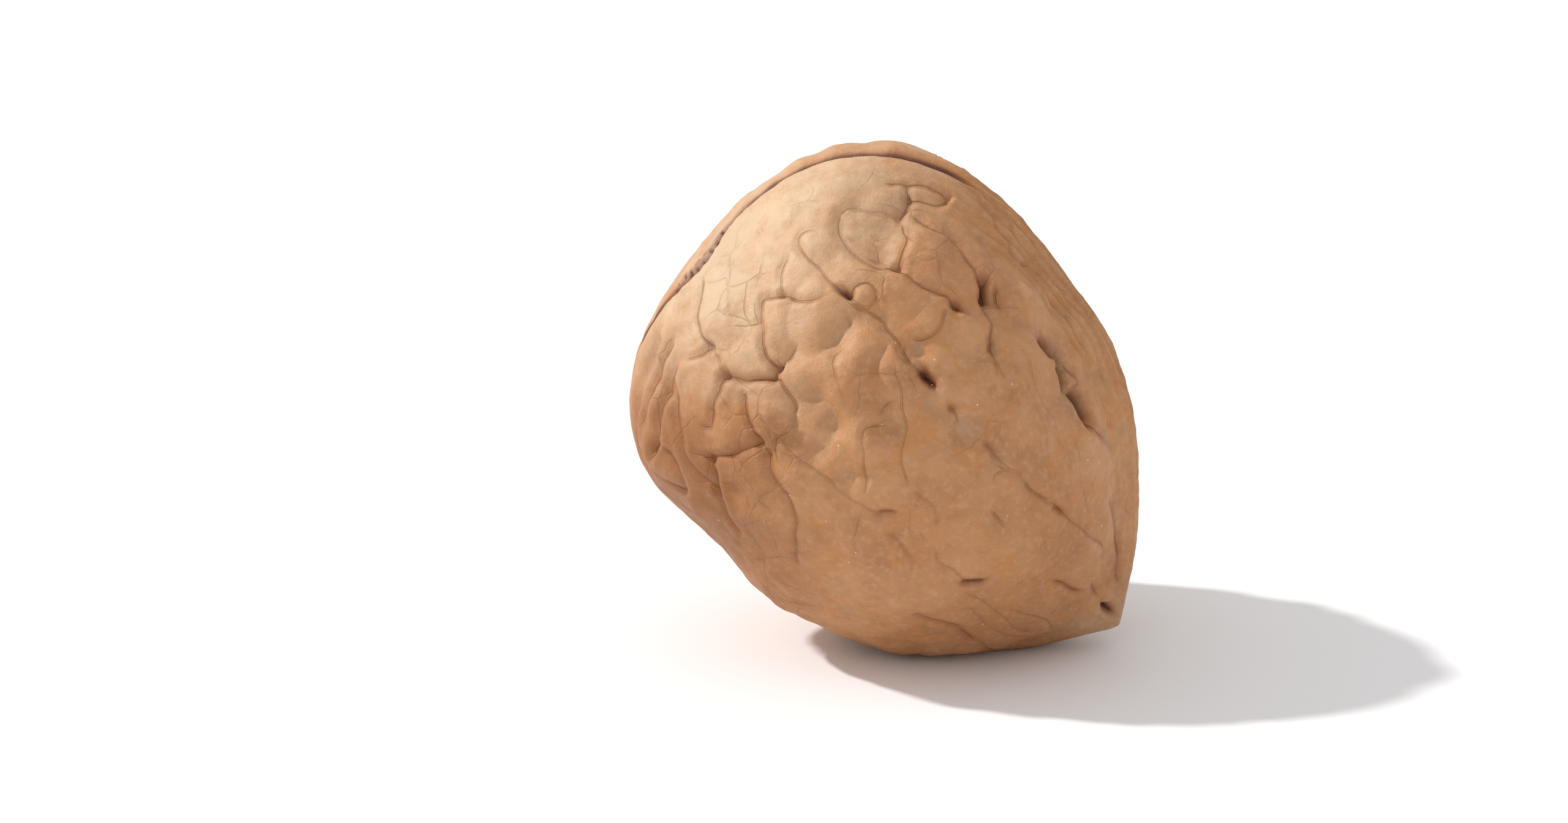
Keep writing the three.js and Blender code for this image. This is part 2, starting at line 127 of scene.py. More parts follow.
# A furrow is (half width mm, depth mm, dirt 0 to 1, its route). A place on a route is in degrees
# from the cheek's centre: first towards the tip, then towards the upper seam.
FRONT_FURROWS = [
    # the pitted furrow beside the upper seam
    (0.60, 0.40, 0.25, [(-6, 58.5), (-2, 60), (5, 62), (11.5, 63), (15.5, 64), (18, 62.5), (20, 60.5),
                        (23.5, 58.5), (28, 57.5), (31, 58), (34.5, 56), (38, 54.5), (49, 54.5),
                        (59.5, 51.5)]),
    (0.42, 0.85, 1.00, [(6, 62.2), (9, 62.6), (11.5, 63)]),
    (0.26, 0.50, 0.80, [(11.5, 63), (15.5, 64), (17.5, 62.5), (20, 60.5)]),
    (0.32, 0.75, 0.95, [(20, 60.5), (23.5, 58.5), (27, 58)]),
    (0.38, 0.85, 1.00, [(31, 58), (34.5, 56), (38, 54.5), (40, 53.5)]),
    (0.30, 0.25, 0.40, [(40, 53.5), (44, 53.7), (49, 54.5), (52.5, 54)]),
    (0.20, 0.16, 0.35, [(18.5, 64), (21, 63), (25, 63.3), (27.5, 62.8), (29, 61), (28, 58.5)]),
    # the long middle furrow, in stretches
    (1.00, 0.22, 0.10, [(-22, 30), (-16, 29.5), (-6.5, 29.5), (2.5, 28.5), (9, 26.5), (17, 27.5)]),
    (0.26, 0.30, 0.25, [(-21, 30), (-18, 29.2), (-14, 29.5), (-12.5, 30)]),
    (0.27, 0.65, 1.00, [(-12.5, 30), (-9.5, 29.9), (-6.5, 29.7)]),
    (0.24, 0.45, 0.90, [(-2, 29), (-0.5, 28.8)]),
    (0.22, 0.16, 0.30, [(-0.5, 28.8), (2.5, 28.3), (5, 27)]),
    (0.80, 0.22, 0.10, [(5, 26), (9, 25.5), (13, 26.5), (16, 27)]),
    (0.28, 0.26, 0.60, [(12, 27), (14, 27.6), (17, 27.5)]),
    (0.20, 0.14, 0.20, [(17, 27.5), (20.5, 26.7), (24.5, 26), (26.5, 27), (29.5, 27)]),
    (0.26, 0.22, 0.35, [(29.5, 27), (33, 26.3), (36.5, 26), (40.5, 25.8)]),
    (0.22, 0.24, 0.60, [(42, 27), (42.7, 26), (47, 25.7)]),
    (0.20, 0.14, 0.20, [(40.5, 25.8), (47, 25.7), (52, 24.6), (57, 24), (62.5, 23.3), (67.5, 23), (72, 21)]),
    (0.20, 0.14, 0.20, [(23.5, 20), (21.5, 23), (23, 26), (26.5, 27)]),
    # the groove to the knob, the knob and the plates around it
    (0.28, 0.22, 0.40, [(-56, 26.5), (-53.5, 26), (-51.5, 25.5), (-47.5, 26.5), (-43.5, 27.5), (-40, 28.3)]),
    (0.26, 0.50, 0.90, [(-40, 28.3), (-38.3, 28.6)]),
    (0.20, 0.18, 0.30, [(-38.3, 28.6), (-38.5, 32), (-37.5, 33.5), (-35, 34), (-33.5, 33.8), (-32.5, 32)]),
    (0.20, 0.18, 0.30, [(-32.5, 32), (-33, 30), (-36, 28.6), (-38.3, 28.6)]),
    (0.20, 0.18, 0.30, [(-38, 27.3), (-34.5, 28.5), (-31.5, 30), (-28.5, 31.3), (-26, 30.5), (-21, 30)]),
    (0.20, 0.16, 0.25, [(-53.5, 33.5), (-55.5, 31.5), (-56.5, 29.5), (-56, 27), (-53.5, 26)]),
    # the dented plate and its dark marks
    (0.26, 0.22, 0.35, [(-43.5, 51), (-46.5, 49.5), (-48, 48.5), (-50, 45.5), (-52.5, 43), (-54.5, 39)]),
    (0.26, 0.22, 0.35, [(-54.5, 39), (-53.5, 38), (-51, 36.5), (-47.5, 35.5), (-44.5, 36), (-41, 37),
                        (-38.5, 38), (-36.5, 40), (-34.5, 42)]),
    (0.24, 0.22, 0.30, [(-34.5, 42), (-35.5, 44), (-37, 46.5), (-38, 48.5), (-40, 49), (-42, 50.5)]),
    (0.20, 0.22, 0.90, [(-49.5, 37), (-48, 37.5), (-46.5, 37.7)]),
    (0.20, 0.18, 0.75, [(-41.5, 38), (-40, 39.2), (-38.3, 40.5)]),
    (0.26, -0.08, 0.00, [(-42.5, 44), (-43.5, 47), (-43, 49), (-42, 50.5)]),
    (0.50, -0.20, 0.00, [(-50, 35), (-46, 34), (-41, 35.5), (-37, 38.5)]),
    # the step above it, from the ladder of small plates to the deep pit, and the step below that
    (0.26, 0.26, 0.35, [(-42.5, 53), (-38.5, 54.5), (-36.5, 55), (-31.5, 57.5), (-29, 58.5), (-24, 58.3),
                        (-20.5, 58), (-18, 58.3)]),
    (0.36, 0.80, 0.95, [(-18, 58.3), (-17, 58), (-14.8, 56.5)]),
    (0.24, 0.26, 0.45, [(-14.8, 56.5), (-14.5, 55.5), (-11, 53.7), (-9.5, 53.7), (-6.5, 51.3), (-3, 48.5)]),
    (0.20, 0.12, 0.20, [(-3, 48.5), (1, 45.5), (4, 42)]),
    (0.28, 0.40, 0.60, [(-12.5, 62.5), (-14, 61), (-12.5, 59.5), (-11, 58.5), (-8, 58)]),
    (0.24, 0.26, 0.45, [(-34.5, 42), (-32.5, 42.5), (-29.5, 43), (-27, 44.5), (-23.5, 46), (-21.5, 47.5),
                        (-18.7, 48)]),
    (0.28, 0.45, 0.95, [(-18.7, 48), (-16.5, 48.6), (-15, 49)]),
    (0.22, 0.22, 0.40, [(-19.5, 46), (-19.3, 44.5), (-17.5, 42), (-16.8, 39.5), (-17, 37.5), (-19, 34.5),
                        (-21, 33)]),
    (0.60, 0.25, 0.10, [(-34, 67.5), (-32.5, 68), (-28, 68.5), (-24, 68.5), (-20, 66.5)]),
    # the ladder of small plates under the crack
    (0.22, 0.26, 0.45, [(-52, 52), (-49.5, 56), (-48, 57.5), (-46, 60.5), (-42.5, 64), (-40, 65.5)]),
    (0.22, 0.28, 0.55, [(-48, 57.5), (-45.5, 55.5), (-43, 58), (-41, 60.5), (-40, 63), (-40, 65.5)]),
    (0.22, 0.26, 0.55, [(-45.5, 55.5), (-43.5, 53), (-43.5, 51)]),
    # cracks between the plates, base side
    (0.22, 0.24, 0.40, [(-71.5, 0.5), (-68.5, -1.5), (-64, -5.5), (-60.5, -6.5), (-58, -7.5), (-54, -7)]),
    (0.22, 0.24, 0.40, [(-54, -7), (-53.5, -9.5), (-55, -13), (-56.5, -16)]),
    (0.20, 0.14, 0.20, [(-54, -7), (-50.5, -8), (-46, -8.5)]),
    (0.22, 0.28, 0.45, [(-41.5, 24.5), (-43.5, 21), (-45.5, 19), (-49.5, 16.5)]),
    (0.22, 0.28, 0.45, [(-49.5, 16.5), (-50, 15), (-52.5, 12), (-51.5, 10.5), (-48.5, 7)]),
    (0.22, 0.28, 0.45, [(-48.5, 7), (-47, 6.5), (-45, 5.5), (-42, 4), (-38, 4)]),
    (0.20, 0.16, 0.25, [(-56, 24), (-54.5, 21.5), (-53.5, 19), (-52, 18), (-49.5, 16.5)]),
    (0.18, 0.12, 0.20, [(-54, 1.5), (-53, 2.5), (-50, 5), (-48.5, 7)]),
    (0.28, 0.38, 0.60, [(-38, 4), (-37, 1), (-38, -0.5), (-40, -3), (-41, -5), (-43, -6.5), (-46, -8.5)]),
    (0.20, 0.20, 0.30, [(-39, 12), (-38.5, 10), (-37.5, 8.5), (-37.5, 6.5), (-38, 4)]),
    (0.20, 0.22, 0.40, [(-37, 1), (-35.5, 2), (-34, 1.5), (-29.5, 0.5), (-27.5, -1), (-26.5, -2.5)]),
    (0.20, 0.20, 0.35, [(-26.5, -2.5), (-26.5, -4), (-26, -7), (-26.5, -9), (-25, -12), (-21.5, -14)]),
    (0.22, 0.28, 0.50, [(-46, -8.5), (-44.5, -12), (-43, -16.5), (-41, -19.5), (-40, -21.5), (-42.5, -24)]),
    (0.28, 0.34, 0.55, [(-41, -7.5), (-39.5, -8), (-37.5, -9.5), (-35, -11), (-32.5, -12), (-29.5, -13.5)]),
    (0.26, 0.28, 0.45, [(-29.5, -13.5), (-27.5, -14), (-23.5, -15.5), (-21.5, -17), (-17, -18), (-14, -19),
                        (-10.5, -21), (-8, -23), (-6.5, -26), (-3.5, -30), (1, -36)]),
    (0.22, 0.18, 0.35, [(-34, -7), (-29.5, -8)]),
    (0.24, 0.30, 0.50, [(-29.5, -13.5), (-30, -18), (-31, -20.5), (-33.5, -24.5), (-35, -28.5)]),
    (0.22, 0.22, 0.35, [(-35, -28.5), (-37, -30), (-38.5, -30.5), (-40, -31.5)]),
    (0.32, 0.40, 0.60, [(-35, -28.5), (-33, -31), (-31, -33), (-29, -35), (-26.5, -37), (-23, -41),
                        (-20, -42.5), (-15, -43)]),
    (0.20, 0.14, 0.35, [(-14.5, -14.5), (-11, -13.5)]),
    # folds of the shoulder and the lumps under it
    (0.60, 0.55, 0.20, [(-70, -20), (-66, -32), (-60, -46), (-52, -58)]),
    (0.40, 0.50, 0.30, [(-63, -16), (-61, -30), (-55, -45)]),
    (0.36, 0.45, 0.30, [(-57, -17), (-55, -28), (-50, -39), (-47, -48)]),
    (0.30, 0.34, 0.40, [(-56, -22), (-48, -28), (-40, -34), (-34, -36), (-29, -35)]),
    (0.30, 0.34, 0.40, [(-49.5, -41), (-47, -45), (-46.5, -50)]),
    (0.30, 0.34, 0.40, [(-47, -40), (-40, -41), (-36, -45), (-42, -51)]),
    # faint wrinkles and small pits over the middle
    (0.42, 0.16, 0.20, [(-29, -8.5), (-21, -9), (-16, -8), (-10, -7.5), (-2, -7), (1.5, -5.5), (4, -5)]),
    (0.24, 0.24, 0.70, [(-12, -7.8), (-9, -7.6)]),
    (0.24, 0.20, 0.60, [(-0.5, -6.2), (1.3, -5.2)]),
    (0.22, 0.22, 0.60, [(4, -5), (6, -3), (9, -1)]),
    (0.20, 0.16, 0.20, [(-19, 26), (-13.5, 23), (-10, 20), (-6.5, 17.5), (-3, 13), (-1, 10), (5.5, 5.5)]),
    (0.20, 0.14, 0.20, [(-12.5, 20.5), (-14, 17), (-12, 14)]),
    (0.20, 0.16, 0.20, [(-9.5, 14.5), (-12.5, 9), (-9, 4.5), (-6, 1.5), (-3.5, 0), (-1, -4)]),
    (0.20, 0.16, 0.20, [(-30, 20), (-30.5, 17), (-27, 14.5), (-23.5, 12.5), (-20, 10.5)]),
    (0.20, 0.14, 0.20, [(-37, 26), (-33, 24.5), (-31.5, 23.5)]),
    (0.35, 0.14, 0.25, [(5, 6), (9, 6), (12.5, 6), (15.5, 5), (18, 3.5), (20, 1)]),
    (0.35, 0.14, 0.25, [(9.5, -8.5), (12.5, -7.5), (15, -7.5), (19, -9.5), (24, -11)]),
    (0.22, 0.14, 0.25, [(-5, 51), (-2.5, 48), (1.5, 46), (3.5, 45), (6, 43)]),
    (0.20, 0.10, 0.15, [(-3.5, 35.5), (-1, 37.5), (2, 38.5), (4, 40.5), (3.5, 43)]),
    (0.22, 0.10, 0.15, [(5, 56), (10, 51), (18, 47), (26, 45), (32, 42), (38, 40)]),
    (0.22, 0.10, 0.15, [(10, 48), (18, 44), (25, 41), (30, 37), (35, 34)]),
    (0.22, 0.10, 0.15, [(34, 47), (40, 43), (44, 38), (52, 33), (58, 28)]),
    # wrinkles and small pits towards the tip
    (0.24, 0.16, 0.40, [(26, 14.5), (29.5, 14.3), (35.5, 13)]),
    (0.26, -0.08, 0.00, [(29.5, 9.5), (31, 8.5), (33.5, 9.5)]),
    (0.26, 0.12, 0.25, [(23, -2), (26, -5.8), (31, -5.5), (36, -6), (38, -7)]),
    (0.28, 0.28, 0.85, [(38, -7), (39.5, -5), (41.5, -3.5), (42.5, -1.5)]),
    (0.26, 0.24, 0.65, [(59.5, 5.5), (64.5, 6.3), (68.5, 6.3), (72, 7.4)]),
    (0.26, 0.24, 0.70, [(70, 11.6), (71, 11)]),
    (0.24, 0.12, 0.20, [(40.5, -10), (48, -10.2), (52.5, -11), (60, -13), (65, -14.5), (70, -14)]),
    (0.22, 0.12, 0.25, [(56.5, -9), (66, -7), (70.5, -7.3), (74.5, -10)]),
    (0.24, 0.10, 0.15, [(44, -14), (52, -16), (60, -18.5), (68, -19), (75, -16)]),
    (0.40, 0.24, 0.45, [(33, -25.5), (36, -25), (42, -25), (46, -24), (53, -24), (56, -25.5), (60, -28)]),
    (0.28, 0.12, 0.30, [(60, -26), (67, -28), (74, -33)]),
    (0.40, 0.26, 0.45, [(62, 37), (65, 35.5), (68.5, 32.5), (72, 29.5), (75.5, 26), (79.5, 21), (82, 16.5),
                        (84.5, 12)]),
    (0.30, 0.18, 0.45, [(72, 10), (76, 8), (80, 5.5)]),
    (0.26, 0.90, 1.00, [(81.5, 4.5), (84.5, 3.4), (87, 2.6)]),
    # wrinkles along the seam's band
    (0.22, 0.14, 0.25, [(-46, 68), (-38, 71.5), (-32, 74.5), (-26, 78), (-18, 79), (-10, 80.5), (0, 82.5),
                        (12, 83)]),
    (0.26, 0.40, 0.95, [(-29.5, 75), (-27.8, 76.3)]),
    (0.20, 0.12, 0.20, [(-44, 70), (-34, 76), (-24, 80.5), (-10, 83.5), (4, 85)]),
    (0.24, 0.16, 0.25, [(-33, 73.5), (-30, 75), (-25, 74), (-21, 75), (-17, 75), (-12, 77), (-4, 80)]),
]

# A step is (rise mm, reach mm, route): the ground to the left of the route stands that much higher.
FRONT_STEPS = [
    (0.16, 1.4, [(-8, 54), (-11, 53.7), (-14.5, 55.5), (-18, 58.3), (-24, 58.3), (-29, 58.5), (-36.5, 55)]),
    (0.12, 1.2, [(-15, 49), (-18.7, 48), (-23.5, 46), (-27, 44.5), (-32.5, 42.5)]),
    (0.12, 1.2, [(-21, 33), (-17, 37.5), (-17.5, 42), (-19.5, 46)]),
]

FRONT_SWELLS = [
    ((-46, 43.5), 6, -0.65), ((-40, 41), 3, -0.25), ((-22, 41), 6, 0.30), ((-29, 52), 6, 0.25),
    ((-13, 57), 4, -0.45), ((-35, 30.6), 2.4, 0.22), ((-51, 30), 3, 0.14), ((-47, 14), 8, 0.28),
    ((-31, 19), 4, -0.25), ((-33, 12), 6, 0.30), ((-23, 17), 6, 0.30), ((-44, -2), 7, 0.22),
    ((-31, -7), 6, 0.28), ((-36, -18), 6, 0.28), ((-49, -17), 7, 0.25), ((-14, -28), 8, 0.25),
    ((-17, -12), 6, 0.20), ((-12, 5), 8, 0.22), ((-20, 3), 4, -0.22), ((16, 42), 11, 0.30),
    ((30, 8), 13, 0.25), ((5, -15), 9, 0.22), ((24, 56), 9, -0.35), ((13, -32), 4.5, -0.35),
    ((32, -22), 10, 0.2), ((-46, -46), 8, 0.35), ((-28, -60), 10, -0.4), ((10, -62), 12, 0.3),
    ((44, -50), 12, 0.2), ((-26, 37), 4, -0.12), ((-62, 30), 6, 0.18), ((-58, 48), 8, 0.2),
    ((8, 16), 6, 0.18), ((48, 12), 8, 0.18), ((40, 36), 8, 0.15), ((-2, 66), 6, 0.3), ((8, 67), 4, -0.3),
    # the hollows between the small plates of the middle
    ((-26, 5), 3, -0.22), ((-38, 6), 2.6, -0.16), ((-25, -5), 3, -0.18), ((-16, 18), 3.4, -0.2),
    ((-10, 14), 3, -0.16), ((-18, -4), 3, -0.16), ((-36, 21), 3, -0.16), ((-22, 10), 2.6, 0.16),
]

BACK_FURROWS = [
    (0.80, 0.45, 0.30, [(-60, 24), (-40, 20), (-18, 28), (6, 24), (30, 30), (58, 22)]),
    (0.35, 0.45, 0.80, [(-18, 28), (-12, 26.5)]),
    (0.35, 0.40, 0.80, [(12, 25), (20, 27)]),
    (0.70, 0.40, 0.30, [(-56, -20), (-38, -12), (-14, -24), (12, -20), (40, -30), (66, -22)]),
    (0.40, 0.50, 0.90, [(-15, -24), (-8, -23)]),
    (0.70, 0.40, 0.30, [(-44, 56), (-22, 58), (0, 52), (22, 56), (46, 46)]),
    (0.45, 0.60, 1.00, [(0, 52), (6, 53)]),
    (0.60, 0.35, 0.25, [(-40, -52), (-18, -48), (6, -58), (30, -52)]),
    (0.26, 0.25, 0.35, [(-30, 38), (-34, 22), (-28, 6), (-36, -10), (-30, -22)]),
    (0.24, 0.22, 0.30, [(-50, 40), (-40, 36), (-30, 38), (-20, 44), (-8, 42), (4, 44)]),
    (0.24, 0.22, 0.30, [(-58, 4), (-46, 8), (-28, 6), (-14, 10), (-4, 4), (8, 8)]),
    (0.24, 0.20, 0.30, [(-50, -34), (-38, -36), (-24, -32), (-12, -38), (2, -34)]),
    (0.26, 0.14, 0.25, [(14, 8), (28, 4), (42, 10), (58, 4), (74, 4)]),
    (0.26, 0.12, 0.25, [(20, -8), (36, -12), (52, -8), (70, -6)]),
    (0.26, 0.14, 0.25, [(20, 40), (36, 38), (54, 34), (70, 20)]),
    (0.26, 0.14, 0.25, [(10, -42), (30, -40), (50, -42), (68, -30)]),
]

BACK_SWELLS = [
    ((-48, 30), 9, 0.35), ((-30, 48), 8, -0.4), ((-24, 14), 9, 0.35), ((-52, -8), 9, -0.35),
    ((-34, -28), 10, 0.4), ((-8, 40), 10, 0.3), ((-4, -8), 11, 0.25), ((8, -40), 11, -0.35),
    ((26, 22), 12, 0.3), ((34, -14), 12, 0.25), ((-14, -58), 10, 0.3), ((18, 62), 10, -0.3),
]

SWELL_SCALE = 1.35  # makes every swelling this much stronger than its row says
SOFT_SHARE, SOFT_WIDTH = 0.45, 4.0  # a furrow's soft bell, as shares of its depth and half width
BANK_SHARE, BANK_PLACE, BANK_WIDTH = 0.32, 2.6, 1.3  # the raised banks beside it, in the same way
END_FADE = 0.8  # mm over which a furrow rises out at a free end
STEP_FOOT = 0.18  # mm on each side of a step's line over which it rises
WIDEST_LINE = 0.45  # a furrow no wider than this has a hairline crack along its bottom
LINE_GROUPS = 4  # furrows take turns in these groups, so that the hairlines of two that meet can cross

# Lumps, wrinkles and fine cracks. A spread is the half width of a bell, in mm along the shell, or in
# degrees round the seam or from the tip where the name says so.
PLATED_PLACE, PLATED_SPREAD = (-30, 12), 0.65 * NUT_RADIUS  # where the plates are small and rounded
WRINKLES = 30  # wrinkles all round the tip
WRINKLE_HEIGHT = 0.06
PLATES = 330  # plates in the seeded net of fine cracks, if it went all round the nut
NET_DEPTH, NET_SPREAD = 0.16, 0.22
PLAIN_SPREAD = 4  # the plain skin beside the open seam

# The seam. Places are mm from the seam.
BAND_SPREAD = 1.7
CORD_SPACING = 0.8
CORD_HEIGHT, UPPER_CORD_HEIGHT = 0.05, 0.17
UPPER_CORD_ANGLE, UPPER_CORD_SPREAD_DEGREES = 90, 38
TROUGH_PLACE, TROUGH_SPREAD = 3.4, 1.1
EDGE_SPREAD = 5
SCAR_ANGLE, SCAR_SPREAD_DEGREES = 178, 10
PORE_SIZE, PORE_DEPTH = 0.6, 0.12

# Where the painted shade with a warm bounce, the pale dust with painted sheen, and the paler tip lie.
SHADE_UNDER_BASE_PLACE, SHADE_UNDER_BASE_SPREAD = (-38, -48), 0.6 * NUT_RADIUS
DUST_AND_SHEEN_ANGLE, DUST_AND_SHEEN_SPREAD_DEGREES = 168, 44
PALE_TIP_SPREAD_DEGREES = 16

dice = np.random.default_rng(40)


def smooth_curve(xs, ys, x):
    """Smooth curve through points: on each stretch a cubic, whose slope at a point is the mean of the
    slopes on its two sides, each weighted by the other side's length."""
    xs, ys = np.asarray(xs, float), np.asarray(ys, float)
    rise = np.diff(ys) / np.diff(xs)
    span = np.diff(xs)
    slope = np.empty_like(ys)
    slope[1:-1] = (rise[1:] * span[:-1] + rise[:-1] * span[1:]) / (span[1:] + span[:-1])
    slope[0], slope[-1] = rise[0], rise[-1]
    i = np.clip(np.searchsorted(xs, x, side="right") - 1, 0, len(xs) - 2)
    t = (x - xs[i]) / span[i]
    s = 1 - t
    return (
        (1 + 2 * t) * s * s * ys[i]
        + t * s * s * span[i] * slope[i]
        + t * t * (3 - 2 * t) * ys[i + 1]
        - t * t * s * span[i] * slope[i + 1]
    )


def bell(distance, half_width):
    """One at distance 0, falling off as e to the minus square of distance over half width."""
    return np.exp(-((distance / half_width) ** 2))


def ramp(x, low, high):
    """0 below low, 1 above high, and a smooth step between."""
    t = np.clip((x - low) / (high - low), 0, 1)
    return t * t * (3 - 2 * t)


def ripples(directions, size_mm, count=28):
    """Seeded smooth noise of about -1 to 1: the sum of plane sine waves of random heading and start,
    whose length is size_mm over 0.7 to 1.4, times 0.6 and over the root of half their number."""
    headings = dice.normal(size=(count, 3))
    headings /= np.linalg.norm(headings, axis=1)[:, None]
    pitch = 2 * math.pi * NUT_RADIUS / size_mm * dice.uniform(0.7, 1.4, count)
    phase = dice.uniform(0, 2 * math.pi, count)
    waves = np.sin((directions @ headings.T) * pitch + phase)
    return waves.sum(axis=1) * math.sqrt(2 / count) * 0.6


def swayed(directions, size_mm, amount):
    """Directions pushed aside along each axis by a field of ripples times the amount, which takes the
    ruled look off whatever is drawn on them."""
    wander = np.stack([ripples(directions, size_mm) for _ in range(3)], axis=1)
    return directions + amount * wander


def place_direction(places, side):
    """Unit direction of places on a cheek: the reach from the centre is the angle tilted away from the
    cheek's axis, and the bearing is the angle round it."""
    places = np.asarray(places, float)
    reach = np.radians(np.hypot(places[..., 0], places[..., 1]))
    bearing = np.arctan2(places[..., 1], places[..., 0])
    return np.stack(
        [np.sin(reach) * np.cos(bearing), side * np.cos(reach), np.sin(reach) * np.sin(bearing)], axis=-1
    )


def smooth_route(places, side):
    """Directions along a smooth curve through the places, about a degree and a half apart."""
    places = np.asarray(places, float)
    reach = np.concatenate([[0], np.cumsum(np.hypot(*np.diff(places, axis=0).T))])
    steps = np.linspace(0, reach[-1], max(3, int(reach[-1] / 1.5)))
    curve = [smooth_curve(reach, places[:, axis], steps) for axis in (0, 1)]
    return place_direction(np.stack(curve, axis=1), side)


def route_gap(directions, route):
    """Distance from each direction to the nearest point of the route, the signed distance to the plane
    through that stretch and the nut's middle, and how far the point is from the route's two ends."""
    gap = np.full(len(directions), np.inf)
    across, from_start = np.zeros(len(directions)), np.zeros(len(directions))
    passed = 0
    for start, end in zip(route[:-1], route[1:]):
        stretch = end - start
        length = np.linalg.norm(stretch)
        along = np.clip((directions - start) @ stretch / length**2, 0, 1)
        here = np.linalg.norm(directions - start - along[:, None] * stretch, axis=1)
        normal = np.cross(start, end)
        nearer = here < gap
        across = np.where(nearer, directions @ normal / np.linalg.norm(normal), across)
        from_start = np.where(nearer, passed + along * length, from_start)
        gap = np.minimum(gap, here)
        passed += length
    return gap, across, from_start, passed - from_start


def square_folded_to_disc(cells):
    """Grid points of a square folded into a disc. Each square ring becomes a circle: the ring's number
    is the larger of column and row, and each side is spread evenly over its quarter turn."""
    half = cells // 2
    column, row = np.meshgrid(np.arange(-half, half + 1), np.arange(-half, half + 1), indexing="ij")
    ring = np.maximum(abs(column), abs(row))
    across = abs(column) >= abs(row)
    safe = np.where(ring == 0, 1, np.where(across, column, row))
    turn = np.where(across, row, column) / safe * (math.pi / 4)
    bearing = np.where(
        across,
        np.where(column > 0, 0, math.pi) + turn,
        np.where(row > 0, math.pi / 2, -math.pi / 2) - turn,
    )
    return ring.ravel(), np.where(ring == 0, 0, bearing).ravel()


def smooth_radius(directions):
    """Radius of the smooth nut: at each angle from the tip, an ellipse through the seam's outline and
    the cheek's outline."""
    x, y, z = directions.T
    angle = np.degrees(np.arccos(np.clip(x, -1, 1)))
    upper, lower, front, back = (
        smooth_curve(OUTLINE_ANGLES, outline, angle)
        for outline in (UPPER_SEAM, LOWER_SEAM, FRONT_CHEEK, BACK_CHEEK)
    )
    seam = np.where(z > 0, upper, lower)
    cheek = np.where(y < 0, front, back)
    around = np.arctan2(y, z)
    return 1 / np.hypot(np.cos(around) / seam, np.sin(around) / cheek)


def cheek_relief(directions, radius, side, swells, furrows, steps):
    """Height of a cheek's swellings, furrows and steps, and the looks that follow them. A swelling is
    a bell round its centre. A furrow is a sharp bell across its route, sharper the more dirt it holds,
    inside a soft bell four times as wide, with a raised bank on each side, so the plates between furrows
    are pillowed. It fades at its free ends, and its depth comes and goes, as grown things do. A step is
    a smooth ramp across its route, times a bell of its reach."""
    count = len(directions)
    drawn = swayed(directions, 3.0, 0.007)
    uneven = 0.65 + 0.35 * ramp(ripples(directions, 4.5), -1.0, 0.4)
    height = np.zeros(count)
    grime_and_shade = np.zeros(count)
    silt = np.zeros(count)
    lines = [
        {"gap": np.ones(count), "side": np.ones(count), "share": np.zeros(count)}
        for _ in range(LINE_GROUPS)
    ]

    for centre, half_width, rise in swells:
        gap = np.linalg.norm(drawn - place_direction(centre, side), axis=1)
        height += rise * bell(gap, math.radians(half_width))
    height *= SWELL_SCALE
    swelling = height.copy()

    crossings = [place for furrow in furrows for place in furrow[3]]
    for number, (half_width, depth, dirt, places) in enumerate(furrows):
        # only the points near the furrow are worked on
        route = smooth_route(places, side)
        middle = route.mean(axis=0)
        reach = np.linalg.norm(route - middle, axis=1).max() + (1 + 9 * half_width) / NUT_RADIUS
        near = np.flatnonzero(np.linalg.norm(drawn - middle, axis=1) < reach)
        scale = radius[near]
        gap, across, from_start, from_end = (part * scale for part in route_gap(drawn[near], route))

        # an end is free unless another furrow shares its place, and keeps three tenths of the depth
        fade = np.ones(len(near))
        for end, place in ((from_start, places[0]), (from_end, places[-1])):
            if crossings.count(place) == 1:
                fade *= 0.3 + 0.7 * ramp(end, 0, END_FADE)

        sharp_share = 0.35 + 0.5 * dirt
        cut = sharp_share * bell(gap, half_width) + SOFT_SHARE * bell(gap, SOFT_WIDTH * half_width)
        bank = BANK_SHARE * bell(gap - BANK_PLACE * half_width, BANK_WIDTH * half_width)
        height[near] -= depth * fade * uneven[near] * (cut - bank)

        # dirt lies along the bottom, and pale silt over the whole width of the wider furrows
        stained = bell(gap, (0.9 + 0.5 * dirt) * half_width)
        grime_and_shade[near] = np.maximum(grime_and_shade[near], dirt * fade * stained)
        silted = bell(gap, 2.2 * half_width) * ramp(half_width, 0.15, 0.6)
        silt[near] = np.maximum(silt[near], fade * silted)

        # the hairline is kept as the signed distance to the route, and as its share there
        if half_width <= WIDEST_LINE and depth > 0:
            line = lines[number % LINE_GROUPS]
            nearest = gap < line["gap"][near]
            here = near[nearest]
            line["gap"][here] = gap[nearest]
            line["side"][here] = np.clip(across[nearest], -1, 1)
            share = min(1.0, depth / 0.2) * fade * uneven[near] * (1 - ramp(gap, 0.25, 0.6))
            share *= ramp(np.minimum(from_start, from_end), 0, 0.25)
            line["share"][here] = share[nearest]

    for rise, reach_mm, places in steps:
        route = smooth_route(places, side)
        gap, across, _, _ = (part * radius for part in route_gap(drawn, route))
        height += rise * (ramp(across, -STEP_FOOT, STEP_FOOT) - 0.5) * bell(gap, reach_mm)

    looks = {"grime_and_shade": grime_and_shade, "silt": silt}
    for group, line in enumerate(lines):
        looks[f"line_side_{group}"] = line["side"]
        looks[f"line_share_{group}"] = line["share"]
    return height, swelling, looks


